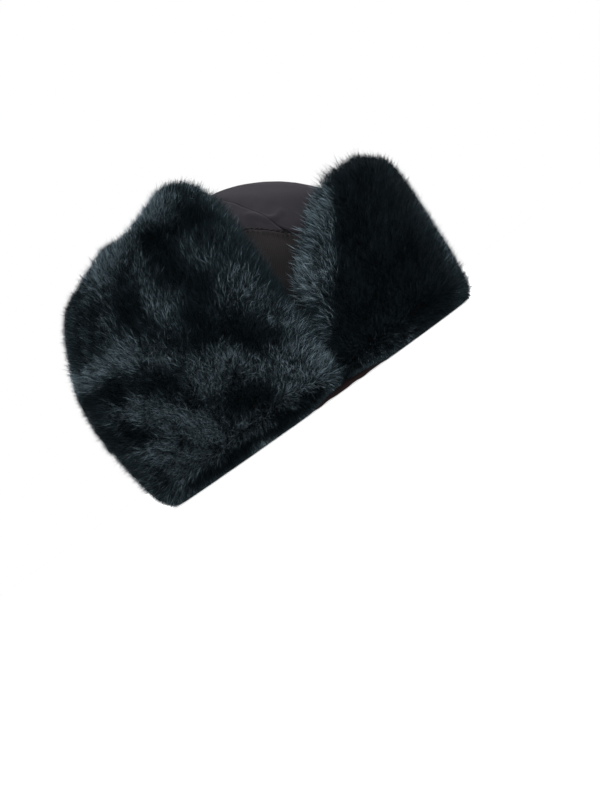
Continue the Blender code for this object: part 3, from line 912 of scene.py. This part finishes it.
def fur_tree():
    """Pile on a skin: thin straight strands in tufts that lie along the nap."""
    inputs = {
        "Density": "Float",
        "Width": "Float",
        "Tuft spacing": "Float",
        "Tufting": "Float",
        "Lean": "Float",
        "Lean spread": "Float",
        "Stray": "Float",
        "Guard share": "Float",
        "Seed": "Int",
        "Strand": "Object",
        "Finish": "Material",
    }
    tree, graph, given = geometry_tree("fur", inputs)
    skin = given["Geometry"]

    def stored(name, kind="FLOAT_VECTOR"):
        return graph.value("GeometryNodeInputNamedAttribute", {"Name": name}, data_type=kind)

    def store(geometry, name, value, kind="FLOAT_VECTOR", domain="POINT"):
        sockets = {"Geometry": geometry, "Name": name, "Value": value}
        return graph.value("GeometryNodeStoreNamedAttribute", sockets, data_type=kind, domain=domain)

    def noise_of(place, seed):
        sockets = {"Vector": place * 1000.0, "W": seed}
        return graph.value("ShaderNodeTexWhiteNoise", sockets, output="Color", noise_dimensions="4D")

    def unit_of(vector):
        return graph.maths("NORMALIZE", vector)

    tuft_density = 1.0 / (given["Tuft spacing"] * given["Tuft spacing"])
    tufts = graph.value(
        "GeometryNodeDistributePointsOnFaces",
        {"Mesh": skin, "Density": tuft_density, "Seed": given["Seed"] + 1},
    )
    scatter = graph.node(
        "GeometryNodeDistributePointsOnFaces",
        {
            "Mesh": skin,
            "Density": given["Density"] * stored("pile", "FLOAT"),
            "Seed": given["Seed"],
        },
    )
    points = Value(graph, scatter.outputs["Points"])
    normal = Value(graph, scatter.outputs["Normal"])
    place = graph.value("GeometryNodeInputPosition")
    nearest = graph.value("GeometryNodeSampleNearest", {"Geometry": tufts})
    tuft = graph.value(
        "GeometryNodeSampleIndex",
        {"Geometry": tufts, "Value": place, "Index": nearest},
        data_type="FLOAT_VECTOR",
    )
    own_length, own_lean, own_tone = graph.parts(noise_of(place, 1.0))
    own_kind, _, _ = graph.parts(noise_of(place, 4.0))
    shared_turn, shared_lean, shared_tone = graph.parts(noise_of(tuft, 2.0))
    cloud_turn, cloud_lean, painted_highlight_cloud = graph.parts(
        graph.value("ShaderNodeTexNoise", {"Vector": tuft, "Scale": 55.0, "Detail": 3.0}, output="Color")
    )
    guard = graph.maths("LESS_THAN", own_kind, given["Guard share"])

    nap = unit_of(stored("nap"))
    leaning = graph.maths("LENGTH", stored("nap"))
    beside = graph.maths("CROSS_PRODUCT", normal, nap)
    turn = (cloud_turn - 0.5) * 2.6 + (shared_turn - 0.5) * 0.9
    turn = turn * (1.0 - stored("edge", "FLOAT"))
    lie = nap * graph.maths("COSINE", turn) + beside * graph.maths("SINE", turn)
    lean = (cloud_lean - 0.5) * 1.2 + (shared_lean - 0.5) * 0.4 + (own_lean - 0.5) * 0.8
    lean = given["Lean"] + lean * given["Lean spread"] + stored("edge", "FLOAT") * 0.35
    lean = lean * leaning
    length = stored("pile_length", "FLOAT") * (own_length * 0.45 + 0.72 + guard * 0.18)
    way = normal * graph.maths("COSINE", lean) + lie * graph.maths("SINE", lean)
    way = way + (noise_of(place, 5.0) - 0.5) * given["Stray"]
    reach = way * length + (tuft - place) * given["Tufting"]
    side = unit_of(graph.maths("CROSS_PRODUCT", way, noise_of(place, 3.0) - 0.5))
    side = side * (given["Width"] * (0.8 + guard * 0.6))
    # Painted light of the pile: the skin's patches of painted highlight and shade, broken into clouds and
    # tufts, with painted glints on single strands, more on guard hairs, and a little random tone. Specks
    # are light hairs and dust.
    patch = stored("tone", "FLOAT")
    patch = patch * (1.0 + (painted_highlight_cloud - 0.5) * 1.6) + (painted_highlight_cloud - 0.5) * 0.16
    patch = graph.maths("MAXIMUM", patch, 0.0)
    painted_glint = own_tone * own_tone * own_tone * 1.75 + 0.12
    tone = patch * painted_glint * (guard * 0.5 + 0.8) + own_tone * 0.10
    tone = tone + shared_tone * patch * 0.25
    speck = graph.maths("LESS_THAN", own_kind, SPECK_SHARE)
    tone = graph.maths("MINIMUM", tone + speck * 0.4, 0.999)

    points = store(points, "root", place)
    points = store(points, "reach", reach)
    points = store(points, "side", side)
    points = store(points, "shade", tone, "FLOAT")

    blade = graph.value("GeometryNodeObjectInfo", {"Object": given["Strand"]}, output="Geometry")
    strands = graph.value("GeometryNodeInstanceOnPoints", {"Points": points, "Instance": blade})
    strands = graph.value("GeometryNodeRealizeInstances", {"Geometry": strands})

    # The chart "OFBake" has a column for each tone, with the root of a strand below and its
    # tip above.
    across, _, along = graph.parts(place - stored("root"))
    column = graph.maths("FLOOR", stored("shade", "FLOAT") * TONE_COLUMNS) + 0.5 + across * 0.8
    chart = graph.value(
        "ShaderNodeCombineXYZ", {"X": column / TONE_COLUMNS, "Y": along * 0.96 + 0.02}
    )
    strands = store(strands, "OFBake", chart, "FLOAT2", "CORNER")
    shaped = stored("root") + stored("reach") * along + stored("side") * across
    shaped = graph.maths("MAXIMUM", shaped, (-1.0, -1.0, GROUND))
    strands = graph.value("GeometryNodeSetPosition", {"Geometry": strands, "Position": shaped})
    end_tree(graph, strands, given["Finish"])
    return tree


def make_strand():
    """One straight strand from 0 to 1 in height, wide at the root and fine at the tip."""
    data = bpy.data.meshes.new("strand")
    data.from_pydata([(-0.5, 0, 0), (0.5, 0, 0), (0, 0, 1)], [], [(0, 1, 2)])
    return add_piece("strand", data)


def region_area(data, pile):
    """Area of a skin, weighted by where the pile grows."""
    data.calc_loop_triangles()
    corners = np.empty(len(data.loop_triangles) * 3, dtype=np.int64)
    data.loop_triangles.foreach_get("vertices", corners)
    corners = corners.reshape(-1, 3)
    a, b, c = (read_points(data)[corners[:, i]] for i in range(3))
    areas = np.linalg.norm(np.cross(b - a, c - a), axis=1) / 2
    return float(np.sum(areas * pile[corners].mean(axis=1)))


def grow_pile(skin, coat, tree, strand, material):
    """The strands on one region of a skin, as a piece of their own."""
    data = skin.data.copy()
    points = read_points(data)
    facing = read_attribute(data, "facing", 1)
    pile = eased(-0.45, -0.05, facing)
    pile *= eased(coat.low - COAT_BLEND, coat.low, points[:, 0])
    pile *= eased(coat.high + COAT_BLEND, coat.high, points[:, 0])
    write_attribute(data, "pile", pile)
    piece = add_piece(coat.name, data)
    inputs = {
        "Density": coat.strands / region_area(data, pile),
        "Width": STRAND_WIDTH,
        "Tuft spacing": TUFT_SPACING,
        "Tufting": TUFTING,
        "Lean": LEAN,
        "Lean spread": LEAN_SPREAD,
        "Stray": STRAY,
        "Guard share": GUARD_SHARE,
        "Seed": coat.seed,
        "Strand": strand,
        "Finish": material,
    }
    grow(piece, tree, inputs)
    for name in ("root", "reach", "side", "shade"):
        piece.data.attributes.remove(piece.data.attributes[name])
    finish_piece(piece, material, "fur")


def comb_skin(skin, forward, upward, tones):
    """Store on a skin which way its pile lies, how long it is and how much painted light it has."""
    data = skin.data
    points = read_points(data)
    normals = read_normals(data)
    nap, edge = nap_of(data, points, normals, forward, upward)
    length = PILE_LENGTH + (edge_pile_length(points) - PILE_LENGTH) * edge
    short = eased(RIM_PILE_HEIGHT, 0.0, points[:, 2])
    write_attribute(data, "nap", nap)
    write_attribute(data, "edge", edge)
    rim_length = RIM_PILE_LENGTH + soft_waves(points, RIM_PILE_WAVES)
    write_attribute(data, "pile_length", (length + (rim_length - length) * short) * bared(points))
    write_attribute(data, "tone", tones(points))


def bared(points):
    """Shorter pile beside each ear, low down, where the binding of the rim shows."""
    forward = CROWN_MIDDLE.y - points[:, 1]
    after = eased(BARE_START - BARE_BLEND, BARE_START, forward)
    before = eased(BARE_END + BARE_BLEND, BARE_END, forward)
    low = eased(BARE_HEIGHT, BARE_HEIGHT / 2, points[:, 2])
    return 1.0 - BARE_SHARE * after * before * low


def edge_pile_length(points):
    """Length of the pile at a free edge: longest low down, where the visor meets the flap."""
    low = eased(END_PILE_HEIGHT + 0.010, END_PILE_HEIGHT - 0.010, points[:, 2])
    return EDGE_PILE_LENGTH + (END_PILE_LENGTH - EDGE_PILE_LENGTH) * low


def make_fur(skin_material, fur_material):
    """The fur of the flaps and of the visor: a skin, and the strands on it."""
    tree = fur_tree()
    strand = make_strand()
    flap = make_skin("ear_and_neck_flap_fur", "flap_fur_skin", skin_material)
    visor = make_skin("visor_fur", "visor_fur_skin", skin_material)
    comb_skin(flap, forward=0.80, upward=0.60, tones=flap_painted_light)
    comb_skin(visor, forward=-0.45, upward=0.89, tones=visor_painted_light)
    coats = (
        Coat("fur_right", flap, -1.0, -0.040, 190000, 3),
        Coat("fur_left", flap, 0.040, 1.0, 150000, 5),
        Coat("fur_back", flap, -0.035, 0.035, 130000, 7),
        Coat("fur_visor", visor, -1.0, 1.0, 190000, 11),
    )
    for coat in coats:
        grow_pile(coat.skin, coat, tree, strand, fur_material)
    bpy.data.objects.remove(strand)


def make_floor():
    """A plain pale floor."""
    size = 30.0
    data = bpy.data.meshes.new("floor")
    corners = [(-size, -size, 0), (size, -size, 0), (size, size, 0), (-size, size, 0)]
    data.from_pydata(corners, [], [(0, 1, 2, 3)])
    floor = add_piece("floor", data)
    material, _, _ = new_finish(
        "floor",
        Base_Color=(0.80, 0.80, 0.80, 1.0),
        Emission_Color=(1.0, 1.0, 1.0, 1.0),
        Emission_Strength=0.80,
        Roughness=1.0,
        Specular_IOR_Level=0.0,
    )
    data.materials.append(material)


def add_sun(name, towards, strength, softness):
    """A soft, even light from a direction."""
    data = bpy.data.lights.new(name, "SUN")
    data.energy = strength
    data.angle = math.radians(softness)
    light = bpy.data.objects.new(name, data)
    light.rotation_euler = Vector(towards).to_track_quat("Z", "Y").to_euler()
    bpy.context.scene.collection.objects.link(light)


def light_scene():
    """Soft light from above and a little in front, and a low fill from the picture's side."""
    add_sun("key", (-0.08, -0.30, 0.95), strength=3.4, softness=30.0)
    add_sun("fill", (-0.85, 0.30, 0.42), strength=1.1, softness=45.0)
    world = bpy.data.worlds.new("studio")
    world.use_nodes = True
    graph = Graph(world.node_tree)
    backdrop = world.node_tree.nodes["Background"]
    backdrop.inputs["Color"].default_value = (1.0, 1.0, 1.0, 1.0)
    seen = graph.value("ShaderNodeLightPath", output="Is Camera Ray")
    graph.feed(backdrop.inputs["Strength"], seen * 0.65 + 0.35)
    bpy.context.scene.world = world
    bpy.context.scene.view_settings.view_transform = "Standard"


def place_camera():
    """The camera at the picture's angle: from the wearer's right, low, and turned with the hat's tilt."""
    data = bpy.data.cameras.new("camera")
    data.lens = LENS
    data.sensor_width = 36.0
    data.clip_start = 0.01
    data.clip_end = 100.0
    camera = bpy.data.objects.new("camera", data)
    away = CAMERA_DISTANCE * Vector((math.cos(CAMERA_TURN), math.sin(CAMERA_TURN), 0.0))
    place = Vector((0.0, 0.0, CAMERA_HEIGHT)) - away
    back = (place - PICTURE_MIDDLE).normalized()
    right = Vector((0.0, 0.0, 1.0)).cross(back).normalized()
    upright = Matrix((right, back.cross(right), back)).transposed()
    turned = upright @ Matrix.Rotation(-HAT_TILT, 3, "Z")
    camera.matrix_world = Matrix.Translation(place) @ turned.to_4x4()
    bpy.context.scene.collection.objects.link(camera)
    bpy.context.scene.camera = camera


def make_hat():
    """Every piece of the hat."""
    gore_cloth = ribbed_finish(
        "gore_cloth",
        dark=(0.0054, 0.0047, 0.0065),
        light=(0.0145, 0.0124, 0.0170),
        pitch=0.0010,
        relief=0.25,
        sheen=0.085,
        rib_across=along_the_gore,
    )
    # Darker and browner than the gores: partly a cloth of its own, partly painted shade, as the band lies
    # low in the notch between the flap and the visor.
    band_cloth = ribbed_finish(
        "band_cloth",
        dark=(0.0026, 0.0022, 0.0026),
        light=(0.0108, 0.0090, 0.0099),
        pitch=0.0013,
        relief=0.80,
        sheen=0.05,
        rib_across=round_the_band,
    )
    flap_cloth = ribbed_finish(
        "flap_cloth",
        dark=(0.0070, 0.0058, 0.0080),
        light=(0.0200, 0.0170, 0.0222),
        pitch=0.0013,
        relief=0.45,
        sheen=0.09,
        rib_across=over_the_flap,
    )
    lining = ribbed_finish(
        "lining_cloth",
        dark=(0.0052, 0.0020, 0.0021),
        light=(0.0140, 0.0060, 0.0062),
        pitch=0.0009,
        relief=0.35,
        sheen=0.03,
        rib_across=round_the_band,
    )
    make_crown(gore_cloth, band_cloth)
    make_flap_cloth("ear_and_neck_flap_cloth", flap_cloth)
    make_flap_cloth("visor_cloth", flap_cloth)
    make_sweatband(lining)
    make_crown_lining(gore_cloth)
    make_binding(lining)
    make_tie(flap_cloth)
    make_stitches(thread_finish())
    make_fur(skin_finish(), fur_finish())


place_camera()
light_scene()
make_floor()
make_hat()
